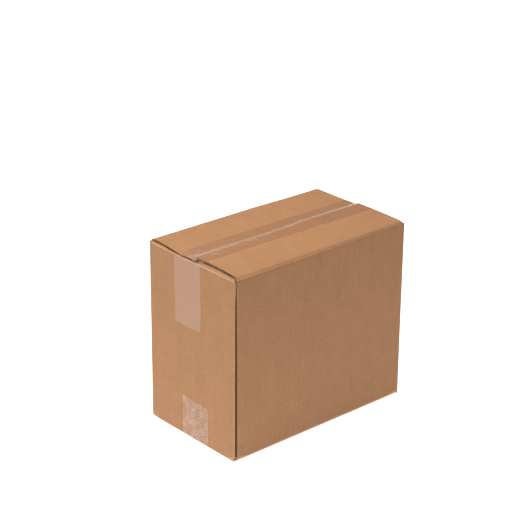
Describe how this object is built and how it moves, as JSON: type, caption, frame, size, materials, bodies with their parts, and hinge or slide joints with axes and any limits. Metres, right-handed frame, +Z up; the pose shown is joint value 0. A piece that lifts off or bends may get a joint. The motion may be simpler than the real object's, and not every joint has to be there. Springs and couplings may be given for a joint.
{
  "type": "closed cardboard box",
  "caption": "Closed regular slotted carton of folded kraft corrugated board, with a glued side joint and clear tape over the top and bottom seams.",
  "frame": {"origin": "on the floor under the middle of the box", "axes": "+X along the length towards the end away from the sprung flap's high corner, +Y across the width away from the side whose top flap is sprung, +Z up"},
  "size_m": [0.2752, 0.16, 0.2436],
  "materials": {
    "kraft_board": "plain kraft liner, matt, light brown",
    "clear_tape": "clear packing tape, glossy, slightly creased"
  },
  "bodies": {
    "root": {"carton": "kraft_board", "top_tape": "clear_tape", "bottom_tape": "clear_tape"}
  },
  "joints": []
}
